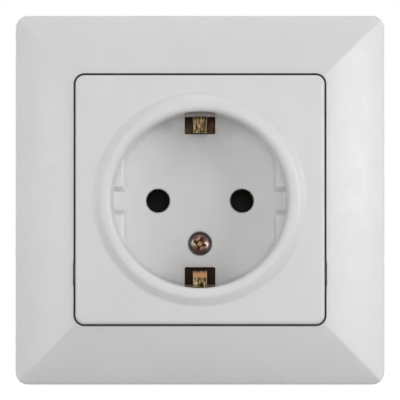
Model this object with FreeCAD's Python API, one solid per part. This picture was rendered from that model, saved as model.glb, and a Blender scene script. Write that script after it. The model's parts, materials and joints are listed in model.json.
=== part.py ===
import FreeCAD, Part
import math
import os

os.makedirs("parts", exist_ok=True)

V = FreeCAD.Vector

# Axes: X right, Z up, the front faces -Y, the wall is the plane Y = 0.
# The origin is the socket's centre on the wall. All sizes are millimetres.

# Plug interface
pin_pitch = 19.0
pin_hole_radius = 2.7
well_radius = 19.5
well_depth = 17.5
earth_reach = 15.2
guide_flat = 16.7
guide_height = 2.5
guide_notch = 3.1
guide_notch_foot = 2.1
guide_draft = 0.5
guide_round = 0.4
guide_corner = 0.5

# Centre cover
plate_size = 55.0
plate_corner = 2.0
plate_height = 9.0
plate_thickness = 2.0
plate_round = 0.8
plate_skirt = 1.6
skirt_wall = 1.4
skirt_corner = 0.6
rim_height = 1.2
mouth_round = 1.2
crown_width = 1.0
crown_round = 1.2
rim_flank = 1.7
rim_fillet = 1.0
cup_wall = 1.8
cup_back_round = 0.8
well_fillet = 0.8
floor_thickness = 2.4
window_half = 3.45
window_front_room = 0.2
window_back_room = 0.2
window_corner = 0.3
pocket_depth = 1.5
pocket_head_room = 1.7
pocket_wall = 1.4
hole_edge = 0.25

# Cover screw
cover_screw_drop = 9.7
screw_well_gap = 0.225
screw_boss_wall = 1.275
screw_head_radius = 2.5
screw_head_height = 1.8
screw_head_depth = 0.4
screw_head_round = 1.1
screw_radius = 1.5
screw_reach = 9.0
screw_tip = 1.0

# Outer frame
frame_size = 82.0
frame_corner = 2.8
frame_edge = 2.8
plate_proud = 0.7
frame_bulge = 0.5
frame_wall = 1.8
frame_edge_round = 0.4
frame_mitre_round = 1.0
plate_gap = 0.3
shelf_width = 2.4
shelf_thickness = 1.5
shelf_corner = 1.5
notch_depth = 0.2
notch_length = 5.6
notch_taper = 0.3
notch_drop = 16.4
rib_offset = 12.0
rib_thickness = 1.2

# Support plate
support_margin = 3.7
support_corner = 3.0
support_thickness = 1.2
support_fold = 1.6
fold_margin = 7.5
box_screw_pitch = 60.0
box_screw_hole = 1.9
rivet_radius = 1.2
rivet_head_radius = 2.4
rivet_tail_radius = 1.8
rivet_head_height = 0.9
rivet_head_round = 0.6

# Base body
pot_clearance = 1.1
pot_wall = 1.5
pot_floor_thickness = 2.0
block_side_wall = 4.1
block_chamfer = 7.0
block_corner = 1.5
block_back_wall = 1.5
block_back_round = 1.0
back_panel_margin = 3.2
back_panel_depth = 0.5
ejector_radius = 1.7
ejector_depth = 0.25
ejector_margin = 4.0
lug_wall = 1.5
lug_depth = 4.0
barrier_gap = 0.3
barrier_thickness = 1.2
barrier_room = 0.7
ramp_step = 0.6
ramp_length = 10.0
ramp_half = 4.0

# Current-carrying parts
strip_thickness = 0.8
earth_strap_half = 3.5
earth_arm_half = 1.55
earth_arm_edge = 0.2
earth_arm_lean = 2.8
earth_tip_lean = 3.4
earth_drop = 0.4
earth_wing_slit = 0.3
earth_wing_reach = 2.4
earth_apex_height = 6.1
earth_tip_height = 12.1
earth_knee_height = 0.5
earth_root_bend = 1.2
earth_knee_bend = 4.0
earth_apex_bend = 2.5
earth_terminal_z = 9.5
sleeve_step = 0.2
sleeve_length = 13.5
sleeve_slit = 0.8
sleeve_solid = 2.0
sleeve_end_room = 2.0
strap_edge = 0.9
strap_corner = 1.0
clip_gap = 0.05
clip_thickness = 0.5
clip_room = 0.45
clip_length = 3.0
clip_setback = 1.5
clip_opening = 1.5
terminal_shift = 2.0
terminal_web = 1.8
terminal_radius = 1.75
terminal_head_radius = 3.25
terminal_head_height = 2.0
terminal_head_room = 0.5
terminal_length = 8.8
terminal_tip = 0.6
clamp_half = 4.0
clamp_thickness = 1.5
clamp_clearance = 0.4
clamp_corner = 0.6
clamp_groove = 0.5
clamp_groove_offset = 2.8
wire_gap = 2.4
wire_channel_half = 3.7

# Fixing claws
claw_wall_gap = 1.0
claw_travel = 7.0
claw_ball_radius = 2.7
claw_ball_lift = 1.6
claw_ball_clearance = 0.125
claw_head_height = 1.1
claw_head_room = 1.2
claw_head_lift = 0.7
claw_screw_spare = 5.0
claw_thickness = 1.2
claw_heel_gap = 0.28
claw_half = 4.5
claw_split = 2.2
claw_corner = 0.8
claw_bore_clearance = 0.05
prong_shift = 1.3
prong_length = 4.4
prong_flare = 1.1
prong_tip = 2.0
prong_bend = 1.2

# Clearances and small helper sizes
thread_clearance = 0.03
pass_clearance = 0.2
seat_gap = 0.1
head_round = 0.5
merge = 0.2
over = 5.0
seam_turn = 17.0

# Depths
plate_front = -plate_height
plate_back = plate_front + plate_thickness
rim_crown = plate_front - rim_height
floor_front = rim_crown + well_depth
floor_back = floor_front + floor_thickness
guide_top = floor_front - guide_height
strap_front = floor_back + terminal_head_room + terminal_head_height
terminal_head_front = strap_front - terminal_head_height
pot_floor = strap_front + strip_thickness
pot_back = pot_floor + pot_floor_thickness
terminal_end = strap_front + terminal_length
clamp_front = pot_floor + wire_gap
clamp_pocket_back = terminal_end + 1.0
wire_channel_back = clamp_front + 1.0
sleeve_back = pot_floor + sleeve_length
sleeve_pocket_back = sleeve_back + sleeve_end_room
block_back = sleeve_pocket_back + block_back_wall
clip_back = sleeve_back - clip_setback
clip_front = clip_back - clip_length
screw_head_front = floor_front + screw_head_depth
screw_seat = screw_head_front + screw_head_height
screw_boss_back = strap_front - seat_gap
screw_end = pot_floor + screw_reach
barrier_front = floor_back + barrier_room
skirt_back = plate_back + plate_skirt
shelf_front = skirt_back + seat_gap
shelf_back = shelf_front + shelf_thickness
frame_inner_height = plate_height - plate_proud
claw_pivot = -support_thickness - claw_ball_lift
claw_head_top = claw_pivot - claw_head_height
claw_foot_front = pot_back + claw_travel
claw_foot_back = claw_foot_front + claw_thickness
claw_screw_end = claw_foot_front + claw_screw_spare
far_front = rim_crown - over
far_back = block_back + over

# Widths and radii
pin_x = pin_pitch / 2
cup_outer = well_radius + cup_wall
rim_crown_radius = well_radius + mouth_round + crown_width
rim_base_radius = rim_crown_radius + rim_flank
plate_half = plate_size / 2
arm_root = earth_reach + earth_arm_lean
arm_tip = earth_reach + earth_tip_lean
window_inner = earth_reach - window_front_room
window_outer = arm_root + earth_drop + strip_thickness / 2 + window_back_room
pocket_outer = well_radius + pocket_depth
pocket_half = window_half + pocket_wall
pot_inner = pocket_outer + pocket_wall + pot_clearance
pot_outer = pot_inner + pot_wall
screw_z = -cover_screw_drop
screw_well_radius = screw_head_radius + screw_well_gap
screw_boss_radius = screw_well_radius + screw_boss_wall
sleeve_inner = pin_hole_radius - sleeve_step
sleeve_outer = sleeve_inner + strip_thickness
clip_inner = sleeve_outer + clip_gap
clip_outer = clip_inner + clip_thickness
sleeve_pocket = clip_outer + clip_room
clamp_room = clamp_half + clamp_clearance
terminal_x = pin_x + terminal_shift
terminal_z = sleeve_pocket + terminal_web + clamp_room
barrier_inner = max(screw_boss_radius, earth_strap_half) + barrier_gap
barrier_outer = barrier_inner + barrier_thickness
barrier_half = window_inner + 1.0
strap_inner = barrier_outer + 0.5
strap_outer = terminal_x + clamp_half
strap_low = -sleeve_outer - strap_edge
strap_high = terminal_z + clamp_half + 0.3
block_half = terminal_x + clamp_room + block_side_wall
rivet_offset = (pot_outer + rivet_tail_radius) / math.sqrt(2)
lug_radius = rivet_radius + lug_wall
opening_half = plate_half + plate_gap
opening_corner = plate_corner + plate_gap
shelf_half = opening_half - shelf_width
skirt_half = opening_half + frame_wall
frame_half = frame_size / 2
support_half = frame_half - frame_wall - support_margin
fold_half = support_half - fold_margin
box_screw_z = box_screw_pitch / 2
claw_x = pot_outer + claw_wall_gap + screw_radius
claw_hole = math.sqrt(claw_ball_radius ** 2 - claw_ball_lift ** 2) + claw_ball_clearance
ramp_high = pot_outer - ramp_step
ramp_slope = (ramp_high - block_half) / ramp_length
claw_heel = ramp_high - ramp_slope * claw_travel + claw_heel_gap


def box(x0, x1, y0, y1, z0, z1):
    return Part.makeBox(x1 - x0, y1 - y0, z1 - z0, V(x0, y0, z0))


def rod(radius, y0, y1, x=0.0, z=0.0):
    """A cylinder along Y, its seam turned away from the planes of symmetry."""
    shape = Part.makeCylinder(radius, y1 - y0, V(x, y0, z), V(0, 1, 0))
    shape.rotate(V(x, y0, z), V(0, 1, 0), seam_turn)
    return shape


def cone(radius0, radius1, y0, y1, x=0.0, z=0.0):
    return Part.makeCone(radius0, radius1, y1 - y0, V(x, y0, z), V(0, 1, 0))


def mirror_x(shape):
    return shape.mirror(V(0, 0, 0), V(1, 0, 0))


def mirror_z(shape):
    return shape.mirror(V(0, 0, 0), V(0, 0, 1))


def both_x(shape):
    return shape.fuse(mirror_x(shape))


def both_z(shape):
    return shape.fuse(mirror_z(shape))


def rounded_wire(points, radii):
    """A closed wire through the points, each corner rounded by its own radius."""
    count = len(points)
    starts = []
    ends = []
    arcs = []
    for i in range(count):
        corner = points[i]
        radius = radii[i]
        if radius == 0:
            starts.append(corner)
            ends.append(corner)
            arcs.append(None)
            continue
        back = (points[i - 1] - corner).normalize()
        ahead = (points[(i + 1) % count] - corner).normalize()
        half = math.acos(max(-1.0, min(1.0, back.dot(ahead)))) / 2
        start = corner + back * (radius / math.tan(half))
        end = corner + ahead * (radius / math.tan(half))
        inward = (back + ahead).normalize()
        middle = corner + inward * (radius / math.sin(half) - radius)
        starts.append(start)
        ends.append(end)
        arcs.append(Part.Arc(start, middle, end).toShape())
    edges = []
    for i in range(count):
        if arcs[i] is not None:
            edges.append(arcs[i])
        following = starts[(i + 1) % count]
        if ends[i].distanceToPoint(following) > 1e-6:
            edges.append(Part.makeLine(ends[i], following))
    return Part.Wire(edges)


def slab(outline, radii, y0, y1):
    """An outline of (x, z) points carried from y0 to y1."""
    points = [V(x, y0, z) for x, z in outline]
    return Part.Face(rounded_wire(points, radii)).extrude(V(0, y1 - y0, 0))


def rectangle(x0, x1, z0, z1, corner, y0, y1):
    outline = [(x0, z0), (x1, z0), (x1, z1), (x0, z1)]
    return slab(outline, [corner] * 4, y0, y1)


def square(half, corner, y0, y1):
    return rectangle(-half, half, -half, half, corner, y0, y1)


def turned(outline, radii):
    """An outline of (radius, y) points turned about the Y axis."""
    points = [V(r, y, 0) for r, y in outline]
    return Part.Face(rounded_wire(points, radii)).revolve(V(0, 0, 0), V(0, 1, 0), 360)


def strip_outline(path, bends, thickness):
    """Both sides of a bent strip whose centre line is the path, with each corner's radius."""
    sides = []
    for sign in (1, -1):
        points = []
        radii = []
        for i in range(len(path)):
            here = path[i]
            into = (here - path[i - 1]).normalize() if i > 0 else None
            out = (path[i + 1] - here).normalize() if i + 1 < len(path) else None
            into = into or out
            out = out or into
            normal_in = V(-into.y, into.x, 0)
            normal_out = V(-out.y, out.x, 0)
            mean = (normal_in + normal_out).normalize()
            reach = sign * thickness / 2 / mean.dot(normal_in)
            points.append(here + mean * reach)
            turn = into.x * out.y - into.y * out.x
            inner = sign * turn > 0
            bend = bends[i]
            radii.append(0 if bend == 0 else bend + (-thickness / 2 if inner else thickness / 2))
        sides.append((points, radii))
    left, right = sides
    return left[0] + right[0][::-1], left[1] + right[1][::-1]


def edges_at(shape, y):
    return [e for e in shape.Edges if all(abs(v.Y - y) < 1e-4 for v in e.Vertexes)]


def cross_recess(head_radius, y, x, z, angle):
    """Two crossed wedges that narrow with depth, sized from the head they sit in."""
    reach = head_radius * 0.6
    foot = head_radius * 0.2
    width = head_radius * 0.3
    depth = head_radius * 0.5
    outline = [
        V(x - reach, y - over, z - width / 2),
        V(x + reach, y - over, z - width / 2),
        V(x + reach, y, z - width / 2),
        V(x + foot, y + depth, z - width / 2),
        V(x - foot, y + depth, z - width / 2),
        V(x - reach, y, z - width / 2),
    ]
    arm = Part.Face(rounded_wire(outline, [0] * 6)).extrude(V(0, 0, width))
    other = arm.copy()
    other.rotate(V(x, y, z), V(0, 1, 0), 90)
    core = cone(width * 1.1, width * 0.6, y, y + depth, x, z)
    tool = arm.fuse(other).fuse(core)
    tool.rotate(V(x, y, z), V(0, 1, 0), angle)
    return tool


def save(shape, name):
    shape.removeSplitter().exportStep("parts/" + name + ".step")


# Outer frame: four sloping sides mitred at the corners
def hip(half, edge, top_half, top, bulge, back):
    low = V(half, -edge, 0)
    high = V(top_half, -top, 0)
    chord = (high - low).normalize()
    outward = V(-chord.y, chord.x, 0)
    if outward.x < 0:
        outward = outward * -1
    crest = (low + high) * 0.5 + outward * bulge
    low_left = V(-low.x, low.y, 0)
    high_left = V(-high.x, high.y, 0)
    crest_left = V(-crest.x, crest.y, 0)
    wire = Part.Wire([
        Part.makeLine(V(half, back, 0), low),
        Part.Arc(low, crest, high).toShape(),
        Part.makeLine(high, high_left),
        Part.Arc(high_left, crest_left, low_left).toShape(),
        Part.makeLine(low_left, V(-half, back, 0)),
        Part.makeLine(V(-half, back, 0), V(half, back, 0)),
    ])
    along_z = Part.Face(wire).extrude(V(0, 0, 2 * half))
    along_z.translate(V(0, 0, -half))
    along_x = along_z.copy()
    along_x.rotate(V(0, 0, 0), V(0, 1, 0), 90)
    return along_z.common(along_x)


def mitre_edges(shape):
    """The sloping edges on the corners' diagonals."""
    found = []
    for edge in shape.Edges:
        middle = edge.CenterOfMass
        depths = [v.Y for v in edge.Vertexes]
        on_diagonal = abs(abs(middle.x) - abs(middle.z)) < 1e-3
        if on_diagonal and max(depths) - min(depths) > 1.0 and max(depths) < -frame_edge / 2:
            found.append(edge)
    return found


def brow_edges(shape):
    """The edges between the upright sides and the slopes, round the whole frame."""
    found = []
    for edge in shape.Edges:
        middle = edge.CenterOfMass
        depths = [v.Y for v in edge.Vertexes]
        at_side = max(abs(middle.x), abs(middle.z)) > frame_half - frame_corner / 2
        if at_side and max(depths) < -frame_edge / 2 and min(depths) > -frame_edge * 1.5:
            found.append(edge)
    return found


slope = math.atan2(frame_inner_height - frame_edge, frame_half - opening_half)
drop = frame_wall / math.cos(slope)
outer = hip(frame_half, frame_edge, opening_half, frame_inner_height, frame_bulge, 0)
outer = outer.common(square(frame_half, frame_corner, far_front, 0))
outer = outer.makeFillet(frame_mitre_round, mitre_edges(outer))
outer = outer.makeFillet(frame_edge_round, brow_edges(outer))
inner_half = frame_half - frame_wall
inner_edge = frame_edge + frame_wall * math.tan(slope) - drop
inner_top = frame_inner_height - drop
hollow = hip(inner_half, inner_edge, opening_half, inner_top, frame_bulge, over)
hollow = hollow.cut(square(skirt_half, opening_corner + frame_wall, far_front, shelf_back))
frame = outer.cut(hollow)
frame = frame.cut(square(opening_half, opening_corner, far_front, shelf_front))
frame = frame.cut(square(shelf_half, shelf_corner, far_front, far_back))
notch_edge = opening_half + notch_depth
notch_low = -notch_drop - notch_length / 2
notch_high = -notch_drop + notch_length / 2
pry = slab(
    [
        (shelf_half, notch_low - notch_taper),
        (opening_half, notch_low - notch_taper),
        (notch_edge, notch_low + notch_taper),
        (notch_edge, notch_high - notch_taper),
        (opening_half, notch_high + notch_taper),
        (shelf_half, notch_high + notch_taper),
    ],
    [0] * 6,
    far_front,
    shelf_front,
)
frame = frame.cut(both_x(pry))
head_half = claw_ball_radius + claw_head_room
head_room = box(
    shelf_half - over, skirt_half + merge, claw_head_top - claw_head_lift, far_back, -head_half, head_half
)
frame = frame.cut(both_x(head_room))
rib_back = -support_thickness - seat_gap
rib_low = rib_offset - rib_thickness / 2
rib_high = rib_offset + rib_thickness / 2
upper_rib = box(rib_low, rib_high, shelf_back - merge, rib_back, shelf_half, skirt_half)
side_rib = box(shelf_half, skirt_half, shelf_back - merge, rib_back, rib_low, rib_high)
frame = frame.fuse(both_z(both_x(upper_rib))).fuse(both_z(both_x(side_rib)))
save(frame, "outer_frame")

# Centre cover: square plate, raised rim, plug well and its floor in one moulding
plate = square(plate_half, plate_corner, plate_front, plate_back)
plate = plate.makeFillet(plate_round, edges_at(plate, plate_front))
skirt = square(plate_half, plate_corner, plate_back - merge, skirt_back)
skirt = skirt.cut(square(plate_half - skirt_wall, skirt_corner, far_front, far_back))
plate = plate.fuse(skirt)
plate = plate.cut(rod(cup_outer - merge, far_front, far_back))
rim_skirt = rim_base_radius + plate_thickness / 2
cup = turned(
    [
        (0, floor_front),
        (well_radius, floor_front),
        (well_radius, rim_crown),
        (rim_crown_radius, rim_crown),
        (rim_base_radius, plate_front),
        (rim_skirt, plate_front),
        (rim_skirt, plate_front + plate_thickness / 2),
        (cup_outer, plate_front + plate_thickness / 2),
        (cup_outer, floor_back),
        (0, floor_back),
    ],
    [0, well_fillet, mouth_round, crown_round, rim_fillet, 0, 0, 0, cup_back_round, 0],
)
cover = plate.fuse(cup)
pocket_boss = box(
    -pocket_half, pocket_half, plate_back - merge, floor_back, well_radius / 2, pocket_outer + pocket_wall
)
pocket_boss = pocket_boss.cut(rod(cup_outer - cup_wall / 2, far_front, far_back))
cover = cover.fuse(both_z(pocket_boss))

# Guide ledges, the upper and the lower one on each side apart by a notch with sloping ends
ledge_outer = well_radius + cup_wall / 2
guide_slope = guide_draft / guide_height
ledge_top_inner = guide_flat + guide_draft
ledge_outline = [
    V(guide_flat - guide_slope * merge, floor_front + merge, 0),
    V(ledge_top_inner, guide_top, 0),
    V(ledge_outer, guide_top, 0),
    V(ledge_outer, floor_front + merge, 0),
]
ledge = Part.Face(rounded_wire(ledge_outline, [0] * 4)).extrude(V(0, 0, well_radius))
notch_slope = (guide_notch - guide_notch_foot) / guide_height
notch_outline = [
    V(guide_flat - over, guide_top - over, -over),
    V(guide_flat - over, guide_top - over, guide_notch + notch_slope * over),
    V(guide_flat - over, floor_front + 2 * merge, guide_notch_foot - notch_slope * 2 * merge),
    V(guide_flat - over, floor_front + 2 * merge, -over),
]
notch_length_x = ledge_outer - guide_flat + 2 * over
ledge = ledge.cut(Part.Face(rounded_wire(notch_outline, [0] * 4)).extrude(V(notch_length_x, 0, 0)))
ledge_edges = []
for edge in ledge.Edges:
    middle = edge.CenterOfMass
    at_notch = abs(middle.z - guide_notch + notch_slope * (middle.y - guide_top)) < 1e-3
    at_flat = abs(middle.x - guide_flat - guide_slope * (floor_front - middle.y)) < 1e-3
    at_top = abs(middle.y - guide_top) < 1e-3
    if at_flat + at_top + at_notch > 1:
        ledge_edges.append(edge)
ledge = ledge.makeFillet(guide_round, ledge_edges)
ledge = ledge.common(rod(ledge_outer, far_front, far_back))
corner_ring = turned(
    [
        (well_radius - guide_corner, guide_top),
        (well_radius - guide_corner, guide_top + merge),
        (ledge_outer, guide_top + merge),
        (ledge_outer, guide_top - guide_corner),
        (well_radius, guide_top - guide_corner),
        (well_radius, guide_top),
    ],
    [0, 0, 0, 0, 0, guide_corner],
)
corner_zone = box(
    ledge_top_inner + guide_round, ledge_outer, guide_top - guide_corner, guide_top + merge,
    guide_notch + guide_round, well_radius,
)
ledge = ledge.fuse(corner_ring.common(corner_zone))
cover = cover.fuse(both_z(both_x(ledge)))

# Earth windows through the floor and their pockets up the wall
pocket_top = floor_front - earth_tip_height - pocket_head_room
pocket = box(-window_half, window_half, pocket_top, floor_front, window_inner, pocket_outer)
window = rectangle(
    -window_half, window_half, window_inner, window_outer, window_corner, floor_front - merge, far_back
)
cover = cover.cut(both_z(pocket)).cut(both_z(window))

# Pin holes with a broken front edge
pin_hole = rod(pin_hole_radius, guide_top, far_back, pin_x)
pin_edge = cone(pin_hole_radius + hole_edge, pin_hole_radius, floor_front, floor_front + hole_edge, pin_x)
cover = cover.cut(both_x(pin_hole)).cut(both_x(pin_edge))

# Sunk hole and boss for the cover screw
screw_edge = cone(
    screw_well_radius + hole_edge, screw_well_radius, floor_front, floor_front + hole_edge, 0, screw_z
)
cover = cover.fuse(rod(screw_boss_radius, floor_back - merge, screw_boss_back, 0, screw_z))
cover = cover.cut(rod(screw_well_radius, guide_top, screw_seat, 0, screw_z)).cut(screw_edge)
cover = cover.cut(rod(screw_radius + pass_clearance, guide_top, far_back, 0, screw_z))
save(cover, "center_cover")

# Cover screw
head = rod(screw_head_radius, screw_head_front, screw_seat, 0, screw_z)
head = head.makeFillet(screw_head_round, edges_at(head, screw_head_front))
shank = rod(screw_radius, screw_seat - merge, screw_end - screw_tip, 0, screw_z)
shank_tip = cone(screw_radius, screw_radius * 0.6, screw_end - screw_tip, screw_end, 0, screw_z)
screw = head.fuse(shank).fuse(shank_tip)
screw = screw.cut(cross_recess(screw_head_radius, screw_head_front, 0, screw_z, 20))
save(screw, "cover_screw")

# Support plate: square sheet with folded edges, open in the middle
support = square(support_half, support_corner, -support_thickness, 0)
fold_front = -support_thickness - support_fold
fold_inner = support_half - support_thickness
fold_x = box(-fold_half, fold_half, fold_front, -merge, fold_inner, support_half)
fold_z = box(fold_inner, support_half, fold_front, -merge, -fold_half, fold_half)
support = support.fuse(both_z(fold_x)).fuse(both_x(fold_z))
support = support.cut(rod(pot_inner, far_front, far_back))
support = support.cut(both_z(rod(box_screw_hole, far_front, far_back, 0, box_screw_z)))
support = support.cut(both_x(rod(claw_hole, far_front, far_back, claw_x)))
rivet_hole = rod(rivet_radius + thread_clearance, far_front, lug_depth + merge, rivet_offset, rivet_offset)
rivet_holes = both_z(both_x(rivet_hole))
support = support.cut(rivet_holes)
save(support, "support_plate")

# Base body: round pot in front, square contact block behind
def eight_sided(half, flat, y0, y1):
    outline = [
        (half, -flat),
        (half, flat),
        (flat, half),
        (-flat, half),
        (-half, flat),
        (-half, -flat),
        (-flat, -half),
        (flat, -half),
    ]
    return slab(outline, [block_corner] * 8, y0, y1)


body = rod(pot_outer, 0, pot_back)
lug = rod(lug_radius, 0, lug_depth, rivet_offset, rivet_offset)
body = body.fuse(both_z(both_x(lug)))
body = body.cut(rod(pot_inner, far_front, pot_floor))
flat_half = block_half - block_chamfer
block = eight_sided(block_half, flat_half, pot_back - pot_floor_thickness / 2, block_back)
block = block.makeFillet(block_back_round, edges_at(block, block_back))
panel_half = block_half - back_panel_margin
panel_floor = block_back - back_panel_depth
block = block.cut(eight_sided(panel_half, flat_half - back_panel_margin / 2, panel_floor, far_back))
ejector_at = flat_half - ejector_margin
ejector = rod(ejector_radius, panel_floor - ejector_depth, far_back, ejector_at, ejector_at)
block = block.cut(both_z(both_x(ejector)))
body = body.fuse(block)
barrier = box(barrier_inner, barrier_outer, barrier_front, pot_floor + merge, -barrier_half, barrier_half)
body = body.fuse(both_x(barrier))
ramp_root = block_half - block_corner
ramp_outline = [
    V(ramp_root, pot_back - merge, -ramp_half),
    V(ramp_high, pot_back - merge, -ramp_half),
    V(ramp_high, pot_back, -ramp_half),
    V(block_half, pot_back + ramp_length, -ramp_half),
    V(ramp_root, pot_back + ramp_length, -ramp_half),
]
ramp = Part.Face(rounded_wire(ramp_outline, [0] * 5)).extrude(V(0, 0, 2 * ramp_half))
body = body.fuse(both_x(ramp))
body = body.cut(both_x(rod(sleeve_pocket, barrier_front, sleeve_pocket_back, pin_x)))


def clamp_space(x, z):
    """Room for a clamp plate and its screw, with a wire channel out to the side above."""
    pocket = box(
        x - clamp_room, x + clamp_room, pot_floor - merge, clamp_pocket_back, z - clamp_room, z + clamp_room
    )
    channel = box(
        x - wire_channel_half, x + wire_channel_half, pot_floor, wire_channel_back, z, pot_outer + over
    )
    return pocket.fuse(channel)


body = body.cut(both_x(clamp_space(terminal_x, terminal_z)))
body = body.cut(clamp_space(0, earth_terminal_z))
body = body.cut(rod(screw_radius + pass_clearance, barrier_front, screw_end + screw_tip, 0, screw_z))
body = body.cut(rivet_holes)
tail_back = lug_depth + 2 * rivet_head_height
tail_room = rod(rivet_tail_radius + pass_clearance, lug_depth, tail_back, rivet_offset, rivet_offset)
body = body.cut(both_z(both_x(tail_room)))
save(body, "base_body")

# Rivets between the support plate and the base body
rivet_front = -support_thickness - rivet_head_height
rivet_back = lug_depth + rivet_head_height
rivet = rod(rivet_radius, rivet_front + merge, rivet_back - merge, rivet_offset, rivet_offset)
front_head = rod(rivet_head_radius, rivet_front, -support_thickness, rivet_offset, rivet_offset)
front_head = front_head.makeFillet(rivet_head_round, edges_at(front_head, rivet_front))
back_head = rod(rivet_tail_radius, lug_depth, rivet_back, rivet_offset, rivet_offset)
rivet = rivet.fuse(front_head).fuse(back_head).removeSplitter()
rivets = [rivet, mirror_x(rivet), mirror_z(rivet), mirror_x(mirror_z(rivet))]
Part.makeCompound(rivets).exportStep("parts/base_rivets.step")

# Earth bracket: one strip across the base with two sprung arms in the well
mid_plane = strap_front + strip_thickness / 2
strap_end = arm_root - earth_root_bend - strip_thickness / 2
arm_path = [
    V(strap_end - merge, mid_plane, 0),
    V(arm_root, mid_plane, 0),
    V(arm_root, floor_front + earth_knee_height, 0),
    V(earth_reach + strip_thickness / 2, floor_front - earth_apex_height, 0),
    V(arm_tip, floor_front - earth_tip_height, 0),
]
arm_bends = [0, earth_root_bend, earth_knee_bend, earth_apex_bend, 0]
arm_points, arm_radii = strip_outline(arm_path, arm_bends, strip_thickness)
arm_face = Part.Face(rounded_wire([V(-earth_arm_half, p.y, p.x) for p in arm_points], arm_radii))
arm = arm_face.extrude(V(2 * earth_arm_half, 0, 0))
arm_edges = []
for edge in arm.Edges:
    middle = edge.CenterOfMass
    if abs(abs(middle.x) - earth_arm_half) < 1e-3 and abs(edge.Vertexes[0].X - edge.Vertexes[-1].X) < 1e-3:
        if edge.Length > 1.2 * strip_thickness:
            arm_edges.append(edge)
arm = arm.makeFillet(earth_arm_edge, arm_edges)
strap = rectangle(
    -earth_strap_half, earth_strap_half, -strap_end, strap_end, strap_corner / 2, strap_front, pot_floor
)
wing_end = arm_root + earth_wing_reach
wing = rectangle(
    earth_arm_half + earth_wing_slit, earth_strap_half, strap_end - 2 * strap_corner, wing_end,
    strap_corner / 2, strap_front, pot_floor,
)
earth = strap.fuse(both_z(arm)).fuse(both_z(both_x(wing)))
earth.translate(V(0, 0, -earth_drop))
earth = earth.cut(rod(screw_radius + thread_clearance, barrier_front, far_back, 0, screw_z))
earth = earth.cut(rod(terminal_radius + pass_clearance, barrier_front, far_back, 0, earth_terminal_z))
save(earth, "earth_bracket")


# Screw terminals
def terminal_screw(x, z):
    top = rod(terminal_head_radius, terminal_head_front, strap_front, x, z)
    top = top.makeFillet(head_round, edges_at(top, terminal_head_front))
    stem = rod(terminal_radius, strap_front - merge, terminal_end - terminal_tip, x, z)
    tip = cone(terminal_radius, terminal_radius * 0.7, terminal_end - terminal_tip, terminal_end, x, z)
    whole = top.fuse(stem).fuse(tip)
    return whole.cut(cross_recess(terminal_head_radius, terminal_head_front, x, z, 35))


def clamp_plate(x, z):
    sheet = rectangle(
        x - clamp_half, x + clamp_half, z - clamp_half, z + clamp_half, clamp_corner,
        clamp_front, clamp_front + clamp_thickness,
    )
    for offset in (-clamp_groove_offset, clamp_groove_offset):
        start = V(x - 2 * clamp_half, clamp_front, z + offset)
        sheet = sheet.cut(Part.makeCylinder(clamp_groove, 4 * clamp_half, start, V(1, 0, 0)))
    return sheet.cut(rod(terminal_radius + thread_clearance, strap_front, far_back, x, z))


save(terminal_screw(0, earth_terminal_z), "earth_terminal_screw")
save(clamp_plate(0, earth_terminal_z), "earth_clamp_plate")
side_screw = terminal_screw(terminal_x, terminal_z)
side_clamp = clamp_plate(terminal_x, terminal_z)
save(mirror_x(side_screw), "line_terminal_screw")
save(side_screw, "neutral_terminal_screw")
save(mirror_x(side_clamp), "line_clamp_plate")
save(side_clamp, "neutral_clamp_plate")

# Pin contacts: strap with a slit sleeve, and a spring clip round the sleeve
contact = rectangle(strap_inner, strap_outer, strap_low, strap_high, strap_corner, strap_front, pot_floor)
contact = contact.fuse(rod(sleeve_outer, strap_front, sleeve_back, pin_x))
contact = contact.cut(rod(sleeve_inner, barrier_front, far_back, pin_x))
lead_in = strip_thickness / 2
contact = contact.cut(cone(sleeve_inner + lead_in, sleeve_inner, strap_front, strap_front + lead_in, pin_x))
slit_front = pot_floor + sleeve_solid
slit_half = sleeve_slit / 2
slit_reach = sleeve_outer + over
contact = contact.cut(
    box(pin_x - slit_half, pin_x + slit_half, slit_front, far_back, -slit_reach, slit_reach)
)
contact = contact.cut(
    box(pin_x - slit_reach, pin_x + slit_reach, slit_front, far_back, -slit_half, slit_half)
)
contact = contact.cut(rod(terminal_radius + pass_clearance, barrier_front, far_back, terminal_x, terminal_z))
save(mirror_x(contact), "line_contact")
save(contact, "neutral_contact")
clip = rod(clip_outer, clip_front, clip_back, pin_x)
clip = clip.cut(rod(clip_inner, barrier_front, far_back, pin_x))
clip_gap_half = clip_opening / 2
clip = clip.cut(
    box(pin_x, pin_x + clip_outer + over, barrier_front, far_back, -clip_gap_half, clip_gap_half)
)
save(mirror_x(clip), "line_contact_spring")
save(clip, "neutral_contact_spring")

# Claw screws with a ball seat, and the claws that climb along them
ball = Part.makeSphere(claw_ball_radius, V(claw_x, claw_pivot, 0))
ball_reach = claw_ball_radius + over
ball_top = box(
    claw_x - ball_reach, claw_x + ball_reach, claw_head_top - ball_reach, claw_head_top,
    -ball_reach, ball_reach,
)
ball = ball.cut(ball_top)
claw_shank = rod(screw_radius, claw_pivot, claw_screw_end - screw_tip, claw_x)
claw_tip = cone(screw_radius, screw_radius * 0.6, claw_screw_end - screw_tip, claw_screw_end, claw_x)
claw_screw = ball.fuse(claw_shank).fuse(claw_tip)
claw_screw = claw_screw.cut(cross_recess(claw_ball_radius, claw_head_top, claw_x, 0, 45))
save(mirror_x(claw_screw), "claw_screw_left")
save(claw_screw, "claw_screw_right")

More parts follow.
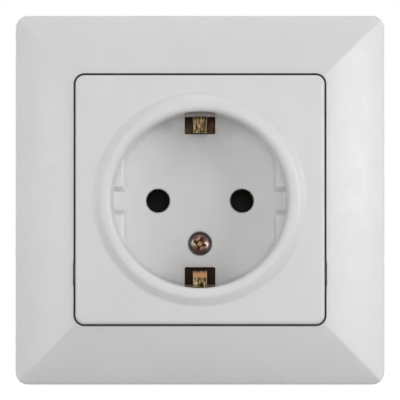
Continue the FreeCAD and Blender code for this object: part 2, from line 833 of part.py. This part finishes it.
prong_x = claw_x + prong_shift
prong_mid = claw_foot_front + claw_thickness / 2
foot = rectangle(
    claw_heel, prong_x - merge, -claw_half, claw_half, claw_corner, claw_foot_front, claw_foot_back
)
prong_path = [
    V(claw_x - claw_corner, prong_mid, 0),
    V(prong_x, prong_mid, 0),
    V(prong_x, prong_mid + prong_length, 0),
    V(prong_x + prong_flare, prong_mid + prong_length + prong_tip, 0),
]
prong_points, prong_radii = strip_outline(prong_path, [0, prong_bend, prong_bend, 0], claw_thickness)
prong_face = Part.Face(rounded_wire([V(p.x, p.y, claw_split) for p in prong_points], prong_radii))
prong = prong_face.extrude(V(0, 0, claw_half - claw_split))
claw = foot.fuse(both_z(prong))
claw = claw.cut(rod(screw_radius + claw_bore_clearance, barrier_front, far_back, claw_x))
save(mirror_x(claw), "claw_left")
save(claw, "claw_right")
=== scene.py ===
import json
import math

import bmesh
import bpy
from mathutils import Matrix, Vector


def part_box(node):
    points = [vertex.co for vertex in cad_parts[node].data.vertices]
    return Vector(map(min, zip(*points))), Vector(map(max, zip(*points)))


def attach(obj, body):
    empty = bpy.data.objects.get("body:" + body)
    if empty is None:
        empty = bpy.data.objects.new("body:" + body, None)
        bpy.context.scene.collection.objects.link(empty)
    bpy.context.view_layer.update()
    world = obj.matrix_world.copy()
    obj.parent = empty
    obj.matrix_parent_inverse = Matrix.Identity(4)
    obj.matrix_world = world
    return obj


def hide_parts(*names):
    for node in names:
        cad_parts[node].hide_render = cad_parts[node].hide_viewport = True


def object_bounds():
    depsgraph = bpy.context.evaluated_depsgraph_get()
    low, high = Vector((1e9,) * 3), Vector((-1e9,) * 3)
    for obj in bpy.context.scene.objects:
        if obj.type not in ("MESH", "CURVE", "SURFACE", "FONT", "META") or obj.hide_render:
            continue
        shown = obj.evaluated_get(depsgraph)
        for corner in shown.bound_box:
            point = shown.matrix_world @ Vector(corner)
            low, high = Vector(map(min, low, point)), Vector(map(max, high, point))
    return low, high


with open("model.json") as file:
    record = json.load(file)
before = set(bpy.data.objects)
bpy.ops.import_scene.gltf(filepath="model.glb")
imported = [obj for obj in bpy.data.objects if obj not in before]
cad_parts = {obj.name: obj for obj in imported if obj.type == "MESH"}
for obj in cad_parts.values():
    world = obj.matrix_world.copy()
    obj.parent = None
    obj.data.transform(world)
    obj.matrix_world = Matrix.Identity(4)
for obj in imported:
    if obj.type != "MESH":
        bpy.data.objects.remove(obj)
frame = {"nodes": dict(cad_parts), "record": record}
cad_low, cad_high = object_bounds()
nodes = frame["nodes"]
scene = bpy.context.scene

# Fades are pairs of places in metres: a tint is absent at the first and full at the second

# White cover: the pocket above the upper earth window, painted brown as a reflection of the brass and as
# shade
pocket_bottom = (0.0193, 0.0199)
pocket_top = (0.0218, 0.0214)
pocket_side = (0.0042, 0.0036)
pocket_depth = (-0.0075, -0.0045)

# White cover: painted dark brown shade on the sill at the outer end of the lower earth window
sill_start = (-0.0183, -0.0186)
sill_side = (0.00352, 0.00344)
sill_depth = (0.0050, 0.0068)

# White cover and frame: the gap round the plate, darkened with painted shade from the plate's edge to just
# past the frame's
plate_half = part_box("center_cover")[1].x
plate_corner = 0.002
gap_reach = 0.00035
gap_fade = 0.0001
gap_depth = (-0.0092, -0.0084)

# Earth strip: its long edges, with painted highlights, from the middle; the band of painted copper
# reflection and the root, painted dark as shade, from its front end
strip_edge_start = (0.00120, 0.00145)
strip_edge_end = (0.00175, 0.00165)
band_start = (0.0026, 0.0031)
band_end = (0.0053, 0.0048)
band_side = (-0.012, -0.013)
upper_arm = (0.0, 0.012)
root_start = (0.0080, 0.0110)
root_upper_half = (-0.010, 0.010)
root_upper_end = (0.0166, 0.0184)

# Cover screw: distances from its axis, for the recess and the painted highlights, and the depth of its
# recess from the top of the head
recess_depth = (0.0001, 0.0003)
recess_reach = (0.0018, 0.0014)
recess_arms = (0.0004, 0.0007)
rim_highlight_reach = (0.0016, 0.0022)
left_glint_offset = (-0.0018, 0.0002)
left_glint_reach = (0.0010, 0.0003)
right_glint_offset = (0.0016, -0.0003)
right_glint_reach = (0.0009, 0.0003)

# Claw screws: sizes in metres, the tip's taper as a share of the radius, and the steps of one turn
shank_radius = 0.0015
head_length = 0.0038
tip_length = 0.001
tip_taper = 0.4
thread_pitch = 0.0005
thread_depth = 0.00028
thread_steps = 28
weld_distance = 1e-7
cut_distance = 1e-8
sharp_angle = math.radians(35)

# Thread section: share of the pitch, and share of the depth there
thread_profile = [(0.0, 0.0), (0.2, 0.0), (0.52, 1.0), (0.68, 1.0), (1.0, 0.0)]

# Camera, light and floor
camera_place = Vector((0.0, -0.655, -0.0103))
camera_target = Vector((0.0, -0.003, 0.0))
camera_lens = 264.0
camera_sensor = 36.0
camera_clip = (0.01, 50.0)
world_light = 0.25
white_level = 1.0
floor_half = 8.0
floor_drop = 0.0002
floor_grey = 0.5
floor_glow = 1.34
floor_glow_share = 0.75


# Node helpers
class Graph:
    """A material's node tree with short ways to add and join nodes."""

    def __init__(self, name):
        self.material = bpy.data.materials.new(name)
        self.material.use_nodes = True
        self.tree = self.material.node_tree
        self.tree.nodes.clear()
        self.shader = self.tree.nodes.new("ShaderNodeBsdfPrincipled")
        output = self.tree.nodes.new("ShaderNodeOutputMaterial")
        self.join(self.shader.outputs["BSDF"], output.inputs["Surface"])
        self.place = self.tree.nodes.new("ShaderNodeTexCoord").outputs["Object"]

    def join(self, source, target):
        self.tree.links.new(source, target)

    def feed(self, value, socket):
        """Links a node's output to a socket, or sets the socket to a plain value."""
        if isinstance(value, bpy.types.NodeSocket):
            self.join(value, socket)
        else:
            socket.default_value = value

    def set(self, **values):
        """Feeds the shader's sockets, named with _ for each space."""
        for name, value in values.items():
            self.feed(value, self.shader.inputs[name.replace("_", " ")])

    def stretch(self, scale, offset=(0, 0, 0)):
        """The place in the part, scaled and then moved."""
        node = self.tree.nodes.new("ShaderNodeMapping")
        node.inputs["Scale"].default_value = scale
        node.inputs["Location"].default_value = offset
        self.join(self.place, node.inputs["Vector"])
        return node.outputs["Vector"]

    def noise(self, scale=1, detail=3, roughness=0.5, vector=None):
        node = self.tree.nodes.new("ShaderNodeTexNoise")
        node.inputs["Scale"].default_value = scale
        node.inputs["Detail"].default_value = detail
        node.inputs["Roughness"].default_value = roughness
        self.join(vector or self.place, node.inputs["Vector"])
        return node.outputs["Fac"]

    def cells(self, scale):
        node = self.tree.nodes.new("ShaderNodeTexVoronoi")
        node.inputs["Scale"].default_value = scale
        self.join(self.place, node.inputs["Vector"])
        return node.outputs["Color"]

    def ramp(self, factor, stops):
        """A colour ramp through (position, colour) stops."""
        node = self.tree.nodes.new("ShaderNodeValToRGB")
        band = node.color_ramp
        while len(band.elements) < len(stops):
            band.elements.new(0.5)
        for element, (position, colour) in zip(band.elements, stops):
            element.position = position
            element.color = (*colour, 1)
        self.join(factor, node.inputs["Fac"])
        return node.outputs["Color"]

    def span(self, factor, low, high, source_low=0.3, source_high=0.7):
        """Maps a factor from its own range to the range from low to high."""
        node = self.tree.nodes.new("ShaderNodeMapRange")
        node.inputs["From Min"].default_value = source_low
        node.inputs["From Max"].default_value = source_high
        node.inputs["To Min"].default_value = low
        node.inputs["To Max"].default_value = high
        self.join(factor, node.inputs["Value"])
        return node.outputs["Result"]

    def fade(self, measure, places, origin=0.0):
        """A factor that goes from 0 to 1 between two places, counted from an origin."""
        return self.span(measure, 0.0, 1.0, origin + places[0], origin + places[1])

    def coordinate(self, axis):
        node = self.tree.nodes.new("ShaderNodeSeparateXYZ")
        self.join(self.place, node.inputs["Vector"])
        return node.outputs[axis]

    def vector_math(self, operation, first, second=(0, 0, 0)):
        node = self.tree.nodes.new("ShaderNodeVectorMath")
        node.operation = operation
        self.join(first, node.inputs[0])
        node.inputs[1].default_value = second
        return node

    def along(self, axis, places, origin=0.0):
        """A fade along one of the part's axes."""
        return self.fade(self.coordinate(axis), places, origin)

    def away(self, centre, places):
        """A fade with the distance from the Y line through a centre in X and Z."""
        flat = self.stretch((1, 0, 1), (-centre[0], 0, -centre[1]))
        return self.fade(self.vector_math("LENGTH", flat).outputs["Value"], places)

    def away_from_middle(self, axis, places):
        """A fade with the distance from the middle along one axis, to both sides."""
        size = self.tree.nodes.new("ShaderNodeMath")
        size.operation = "ABSOLUTE"
        self.join(self.coordinate(axis), size.inputs[0])
        return self.fade(size.outputs["Value"], places)

    def away_from_square(self, half, places):
        """A fade with the distance from a square round the Y axis, from its sides and its corners alike."""
        size = self.vector_math("ABSOLUTE", self.stretch((1, 0, 1))).outputs["Vector"]
        beyond = self.vector_math("SUBTRACT", size, (half, 0, half)).outputs["Vector"]
        outside = self.vector_math("MAXIMUM", beyond).outputs["Vector"]
        return self.fade(self.vector_math("LENGTH", outside).outputs["Value"], places)

    def times(self, *factors):
        """The product of two or more factors."""
        product = factors[0]
        for factor in factors[1:]:
            node = self.tree.nodes.new("ShaderNodeMath")
            node.operation = "MULTIPLY"
            self.join(product, node.inputs[0])
            self.join(factor, node.inputs[1])
            product = node.outputs["Value"]
        return product

    def mix(self, factor, first, second, blend="MIX"):
        """Goes from a first colour to a second. A Mix node has its colours at inputs 6, 7 and output 2."""
        node = self.tree.nodes.new("ShaderNodeMix")
        node.data_type = "RGBA"
        node.blend_type = blend
        self.feed(factor, node.inputs[0])
        for colour, socket in ((first, node.inputs[6]), (second, node.inputs[7])):
            self.feed((*colour, 1) if isinstance(colour, tuple) else colour, socket)
        return node.outputs[2]

    def bump(self, height, distance, strength, below=None):
        node = self.tree.nodes.new("ShaderNodeBump")
        node.inputs["Distance"].default_value = distance
        node.inputs["Strength"].default_value = strength
        self.join(height, node.inputs["Height"])
        if below is not None:
            self.join(below, node.inputs["Normal"])
        return node.outputs["Normal"]


# Moulded white plastic: smooth satin with a very fine mould grain
def white_plastic():
    g = Graph("white_plastic")
    tint = g.ramp(g.noise(scale=90, detail=2), [(0.3, (0.79, 0.79, 0.79)), (0.7, (0.81, 0.81, 0.81))])
    # Painted reflection of the brass and painted shade on the pocket above the upper earth window
    painted_brass_reflection = g.mix(pocket_reflection_mask(g), tint, (0.60, 0.53, 0.49))
    # Painted dark brown shade on the sill of the lower earth window
    painted_sill_shade = g.mix(sill_shade_mask(g), painted_brass_reflection, (0.13, 0.080, 0.060))
    # Painted shade in the gap round the plate
    painted_gap_shade = g.mix(gap_shade_mask(g), painted_sill_shade, (0.05, 0.05, 0.05))
    rough = g.span(g.noise(scale=400), low=0.30, high=0.40)
    wave = g.bump(g.noise(scale=260, detail=1), distance=0.00002, strength=0.25)
    grain = g.bump(g.noise(scale=9000, detail=2), distance=0.000003, strength=0.3, below=wave)
    g.set(Base_Color=painted_gap_shade, Roughness=rough, Normal=grain, IOR=1.5)
    g.set(Subsurface_Weight=0.5, Subsurface_Radius=(1.0, 0.95, 0.9), Subsurface_Scale=0.0018)
    return g.material


def pocket_reflection_mask(g):
    height = g.times(g.along("Z", pocket_bottom), g.along("Z", pocket_top))
    return g.times(height, g.away_from_middle("X", pocket_side), g.along("Y", pocket_depth))


def sill_shade_mask(g):
    outer_end = g.along("Z", sill_start)
    return g.times(outer_end, g.away_from_middle("X", sill_side), g.along("Y", sill_depth))


def gap_shade_mask(g):
    square = plate_half - plate_corner
    far_side = plate_corner + gap_reach
    past_plate = g.away_from_square(square, (plate_corner - gap_fade, plate_corner))
    before_frame = g.away_from_square(square, (far_side + gap_fade, far_side))
    return g.times(past_plate, before_frame, g.along("Y", gap_depth))


# Dark moulded base: mineral-filled thermoset with a pale speckle
def base_plastic():
    g = Graph("base_plastic")
    speckle = g.ramp(g.noise(scale=4200, detail=2, roughness=0.7), [
        (0.32, (0.022, 0.022, 0.023)),
        (0.55, (0.034, 0.034, 0.035)),
        (0.75, (0.070, 0.070, 0.071)),
    ])
    cloud = g.noise(scale=120)
    clouded = g.ramp(cloud, [(0.3, (0.026, 0.026, 0.027)), (0.7, (0.044, 0.044, 0.045))])
    rough = g.span(cloud, low=0.45, high=0.62)
    grain = g.bump(g.noise(scale=2600, roughness=0.6), distance=0.00002, strength=0.5)
    g.set(Base_Color=g.mix(0.35, speckle, clouded), Roughness=rough, Normal=grain)
    g.set(IOR=1.52, Specular_IOR_Level=0.3)
    return g.material


# Zinc-plated sheet: crystals in the coat and faint rolling lines
def zinc_steel():
    g = Graph("zinc_steel")
    crystal = g.cells(scale=420)
    coat = g.ramp(crystal, [(0.0, (0.50, 0.52, 0.55)), (1.0, (0.68, 0.70, 0.72))])
    cloud = g.ramp(g.noise(scale=150, detail=4), [(0.3, (0.55, 0.56, 0.57)), (0.7, (0.70, 0.70, 0.70))])
    rough = g.span(crystal, low=0.30, high=0.46, source_low=0.0, source_high=1.0)
    rolled = g.noise(roughness=0.6, vector=g.stretch((300, 300, 6000)))
    lines = g.bump(rolled, distance=0.00001, strength=0.4)
    g.set(Base_Color=g.mix(0.5, coat, cloud), Metallic=1.0, Roughness=rough, Normal=lines)
    return g.material


# Spring steel: darker than the sheet, in patches from blue grey to straw
def spring_steel():
    g = Graph("spring_steel")
    cloud = g.noise(scale=350, detail=4)
    tone = g.ramp(cloud, [
        (0.30, (0.24, 0.25, 0.28)),
        (0.55, (0.36, 0.36, 0.38)),
        (0.75, (0.42, 0.39, 0.34)),
    ])
    rough = g.span(cloud, low=0.26, high=0.40)
    drawn = g.noise(detail=2, vector=g.stretch((5000, 5000, 250)))
    lines = g.bump(drawn, distance=0.00001, strength=0.4)
    g.set(Base_Color=tone, Metallic=1.0, Roughness=rough, Normal=lines)
    return g.material


# Stamped brass: dark and pale streaks side by side along X, drawn marks with painted reflections, the
# palest painted highlights
def brass(name, streaks):
    g = Graph(name)
    streak_glint = g.noise(roughness=0.55, vector=g.stretch((streaks, 300, 300), offset=(0.3, 0.1, 0.2)))
    # Streaks of drawn marks and painted reflections; the palest stops are painted highlights
    tone = g.ramp(streak_glint, [
        (0.40, (0.075, 0.042, 0.010)),
        (0.47, (0.19, 0.120, 0.036)),
        (0.52, (0.40, 0.275, 0.095)),
        (0.57, (0.82, 0.61, 0.26)),
        (0.62, (1.00, 0.90, 0.60)),
    ])
    rough = g.span(g.noise(scale=900), low=0.24, high=0.40)
    drawn = g.noise(roughness=0.6, vector=g.stretch((4200, 240, 240)))
    g.set(Metallic=1.0, Roughness=rough, Normal=g.bump(drawn, distance=0.00003, strength=0.5))
    return g, tone


# Contacts: the same brass, dulled in the depth of the base
def contact_brass():
    g, tone = brass("contact_brass", streaks=1500)
    g.set(Base_Color=g.mix(0.6, tone, (0.30, 0.20, 0.09)))
    return g.material


# Earth strip: painted highlights on its long edges, painted shade on the upper arm, a painted copper
# reflection on the lower arm, and a root painted dark brown as shade
def earth_brass():
    g, tone = brass("earth_brass", streaks=1900)
    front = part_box("earth_bracket")[0].y
    # Painted highlights along the strip's long edges
    edge = g.times(g.away_from_middle("X", strip_edge_start), g.away_from_middle("X", strip_edge_end))
    edge_highlighted = g.mix(edge, tone, (0.62, 0.48, 0.27))
    # Painted shade: the upper arm darker than the lower
    upper_arm_shaded = g.mix(g.along("Z", upper_arm), edge_highlighted, (0.76, 0.72, 0.66), "MULTIPLY")
    # Painted copper reflection on a band of the lower arm
    band = g.times(g.along("Y", band_start, front), g.along("Y", band_end, front))
    with_painted_glints = g.mix(g.times(band, g.along("Z", band_side)), upper_arm_shaded, (1.0, 0.54, 0.25))
    # Painted shade on the root deep behind the windows, lighter towards the top and darker again at its
    # upper end
    brown = g.mix(g.along("Z", root_upper_half), (0.012, 0.0075, 0.005), (0.038, 0.023, 0.013))
    painted_root_shade = g.mix(g.along("Z", root_upper_end), brown, (0.014, 0.0075, 0.005))
    g.set(Base_Color=g.mix(g.along("Y", root_start, front), with_painted_glints, painted_root_shade))
    return g.material


# Passivated screw: mauve brown head with a painted highlight round its rim, two painted highlight spots and
# a golden recess
def coloured_screw_steel():
    g = Graph("coloured_screw_steel")
    low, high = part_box("cover_screw")
    centre = ((low.x + high.x) / 2, (low.z + high.z) / 2)
    tone = g.ramp(g.noise(scale=900, detail=2, vector=g.stretch((1, 1, 1), offset=(0.013, 0.0, 0.004))), [
        (0.30, (0.045, 0.026, 0.020)),
        (0.45, (0.095, 0.052, 0.040)),
        (0.58, (0.15, 0.078, 0.070)),
        (0.70, (0.22, 0.125, 0.115)),
    ])
    # Painted highlight round the outer rim of the head
    rim_highlighted = g.mix(g.away(centre, rim_highlight_reach), tone, (0.26, 0.19, 0.175))
    # Painted highlights: two spots on the left and right of the head
    with_left_glint = g.mix(glint_mask(g, centre, left_glint_offset, left_glint_reach), rim_highlighted, (0.36, 0.32, 0.30))
    with_painted_glints = g.mix(glint_mask(g, centre, right_glint_offset, right_glint_reach), with_left_glint, (0.66, 0.50, 0.47))
    recess = g.mix(g.away(centre, recess_arms), (0.15, 0.098, 0.050), (0.26, 0.165, 0.075))
    inner = g.times(g.along("Y", recess_depth, low.y), g.away(centre, recess_reach))
    rough = g.span(g.noise(scale=1800), low=0.25, high=0.42)
    grain = g.bump(g.noise(scale=3000, detail=2), distance=0.00001, strength=0.4)
    g.set(Base_Color=g.mix(inner, with_painted_glints, recess), Metallic=1.0, Roughness=rough, Normal=grain)
    return g.material


# A spot of painted highlight, offset from the screw's axis
def glint_mask(g, centre, offset, reach):
    return g.away((centre[0] + offset[0], centre[1] + offset[1]), reach)


finishes = {
    "white_plastic": white_plastic(),
    "base_plastic": base_plastic(),
    "zinc_steel": zinc_steel(),
    "spring_steel": spring_steel(),
    "brass": contact_brass(),
    "coloured_screw_steel": coloured_screw_steel(),
}
slot_of = {part["node"]: part["material_slot"] for part in frame["record"]["subparts"]}
for name, node in nodes.items():
    node.data.materials.clear()
    node.data.materials.append(finishes[slot_of[name]])
nodes["earth_bracket"].data.materials[0] = earth_brass()


# Claw screws: the head as it is packed, with a thread wound along the shank
def wind_thread(mesh, x, z, start, end):
    """Adds a ridge wound round the line at (x, z), one turn for each pitch, from start to end along Y.

    It has a spare turn at each end, for a trim to cut off.
    """
    turns = math.ceil((end - start) / thread_pitch) + 2
    rows = []
    for step in range(turns * thread_steps + 1):
        turn = step / thread_steps
        angle = 2 * math.pi * turn
        row = []
        for share, rise in thread_profile:
            y = start + (turn - 1 + share) * thread_pitch
            narrowing = tip_taper * max(0.0, y - end + tip_length) / tip_length
            radius = (shank_radius - thread_depth * (1 - rise)) * (1 - narrowing)
            row.append(mesh.verts.new((x + radius * math.cos(angle), y, z + radius * math.sin(angle))))
        rows.append(row)
    for row, following in zip(rows, rows[1:]):
        for side in range(len(thread_profile) - 1):
            mesh.faces.new((row[side], following[side], following[side + 1], row[side + 1]))
    bmesh.ops.remove_doubles(mesh, verts=mesh.verts, dist=weld_distance)


def trim(mesh, y, keep):
    """Cuts a mesh across Y, keeps the part on one side, 1 or -1, and closes it."""
    bmesh.ops.bisect_plane(
        mesh,
        geom=mesh.verts[:] + mesh.edges[:] + mesh.faces[:],
        plane_co=(0, y, 0),
        plane_no=(0, -keep, 0),
        clear_outer=True,
        dist=cut_distance,
    )
    rim = [edge for edge in mesh.edges if edge.is_boundary]
    bmesh.ops.holes_fill(mesh, edges=rim, sides=0)


def joined_mesh(name, pieces):
    """One mesh of several pieces, with their faces turned outwards."""
    data = bpy.data.meshes.new(name)
    joined = bmesh.new()
    for piece in pieces:
        piece.to_mesh(data)
        piece.free()
        joined.from_mesh(data)
    bmesh.ops.recalc_face_normals(joined, faces=joined.faces)
    joined.to_mesh(data)
    joined.free()
    return data


def threaded_screw(node_name):
    """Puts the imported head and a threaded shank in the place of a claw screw."""
    low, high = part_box(node_name)
    middle = (low + high) / 2
    shoulder = low.y + head_length
    head = bmesh.new()
    head.from_mesh(nodes[node_name].data)
    head.transform(nodes[node_name].matrix_world)
    trim(head, shoulder, keep=-1)
    shank = bmesh.new()
    wind_thread(shank, middle.x, middle.z, shoulder, high.y)
    trim(shank, shoulder, keep=1)
    trim(shank, high.y, keep=-1)
    data = joined_mesh(node_name + "_threaded", [head, shank])
    data.polygons.foreach_set("use_smooth", [True] * len(data.polygons))
    data.set_sharp_from_angle(angle=sharp_angle)
    data.materials.clear()
    data.materials.append(finishes[slot_of[node_name]])
    screw = bpy.data.objects.new(node_name + "_threaded", data)
    scene.collection.objects.link(screw)
    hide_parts(node_name)
    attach(screw, node_name)


threaded_screw("claw_screw_left")
threaded_screw("claw_screw_right")


def aim(thing, place, direction):
    """Puts a camera or a lamp at a place, facing a direction."""
    thing.location = place
    thing.rotation_euler = direction.to_track_quat("-Z", "Y").to_euler()
    scene.collection.objects.link(thing)


# Camera: far in front, a little below the axis, looking up at the centre
camera_data = bpy.data.cameras.new("camera")
camera_data.sensor_width = camera_sensor
camera_data.lens = camera_lens
camera_data.clip_start, camera_data.clip_end = camera_clip
camera = bpy.data.objects.new("camera", camera_data)
aim(camera, camera_place, camera_target - camera_place)
scene.camera = camera


# White surroundings that light the object softly
def white_for_view(tree, lit, white):
    """Shows the white shader to camera, mirror and see-through rays, and lights with the other."""
    path = tree.nodes.new("ShaderNodeLightPath")
    seen = path.outputs["Is Camera Ray"]
    for ray in ("Is Glossy Ray", "Is Transmission Ray"):
        either = tree.nodes.new("ShaderNodeMath")
        either.operation = "MAXIMUM"
        tree.links.new(seen, either.inputs[0])
        tree.links.new(path.outputs[ray], either.inputs[1])
        seen = either.outputs["Value"]
    mixer = tree.nodes.new("ShaderNodeMixShader")
    tree.links.new(seen, mixer.inputs["Fac"])
    tree.links.new(lit, mixer.inputs[1])
    tree.links.new(white, mixer.inputs[2])
    return mixer.outputs["Shader"]


def background(tree, strength):
    node = tree.nodes.new("ShaderNodeBackground")
    node.inputs["Color"].default_value = (1, 1, 1, 1)
    node.inputs["Strength"].default_value = strength
    return node.outputs["Background"]


def surround():
    world = bpy.data.worlds.new("surroundings")
    scene.world = world
    world.use_nodes = True
    tree = world.node_tree
    tree.nodes.clear()
    out = tree.nodes.new("ShaderNodeOutputWorld")
    shown = white_for_view(tree, background(tree, world_light), background(tree, white_level))
    tree.links.new(shown, out.inputs["Surface"])


# Floor: matt grey where it lights the object, and glowing to white where it is seen, with a soft shadow
def floor_finish():
    material = bpy.data.materials.new("floor")
    material.use_nodes = True
    tree = material.node_tree
    tree.nodes.clear()
    matt = tree.nodes.new("ShaderNodeBsdfDiffuse")
    matt.inputs["Color"].default_value = (floor_grey, floor_grey, floor_grey, 1)
    glow = tree.nodes.new("ShaderNodeEmission")
    glow.inputs["Strength"].default_value = floor_glow
    soft = tree.nodes.new("ShaderNodeMixShader")
    soft.inputs["Fac"].default_value = floor_glow_share
    tree.links.new(matt.outputs["BSDF"], soft.inputs[1])
    tree.links.new(glow.outputs["Emission"], soft.inputs[2])
    out = tree.nodes.new("ShaderNodeOutputMaterial")
    shown = white_for_view(tree, matt.outputs["BSDF"], soft.outputs["Shader"])
    tree.links.new(shown, out.inputs["Surface"])
    return material


def lay_floor():
    mesh = bpy.data.meshes.new("floor")
    corners = [(-1, -1), (1, -1), (1, 1), (-1, 1)]
    level = cad_low.z - floor_drop
    mesh.from_pydata([(x * floor_half, y * floor_half, level) for x, y in corners], [], [(0, 1, 2, 3)])
    mesh.materials.append(floor_finish())
    floor = bpy.data.objects.new("floor", mesh)
    scene.collection.objects.link(floor)


surround()
lay_floor()


# Lamps: soft panels on both sides, above and in front
def panel(name, place, size, level):
    """A soft square lamp aimed at the object, its level as the light it gives there face on."""
    distance = Vector(place).length
    data = bpy.data.lights.new(name, "AREA")
    data.shape = "SQUARE"
    data.size = size
    data.energy = level * math.pi * math.pi * distance * distance
    lamp = bpy.data.objects.new(name, data)
    lamp.visible_camera = False
    aim(lamp, place, -Vector(place))


panel("right_near_lamp", place=(0.24, -0.22, 0.025), size=0.12, level=0.293)
panel("right_side_lamp", place=(0.42, -0.24, 0.02), size=0.12, level=0.107)
panel("left_near_lamp", place=(-0.24, -0.22, 0.0), size=0.12, level=0.209)
panel("left_side_lamp", place=(-0.28, -0.06, 0.04), size=0.15, level=0.102)
panel("top_lamp", place=(0.0, -0.04, 0.33), size=0.12, level=0.179)
panel("front_lamp", place=(0.02, -0.70, 0.05), size=0.18, level=0.096)

scene.view_settings.view_transform = "Standard"
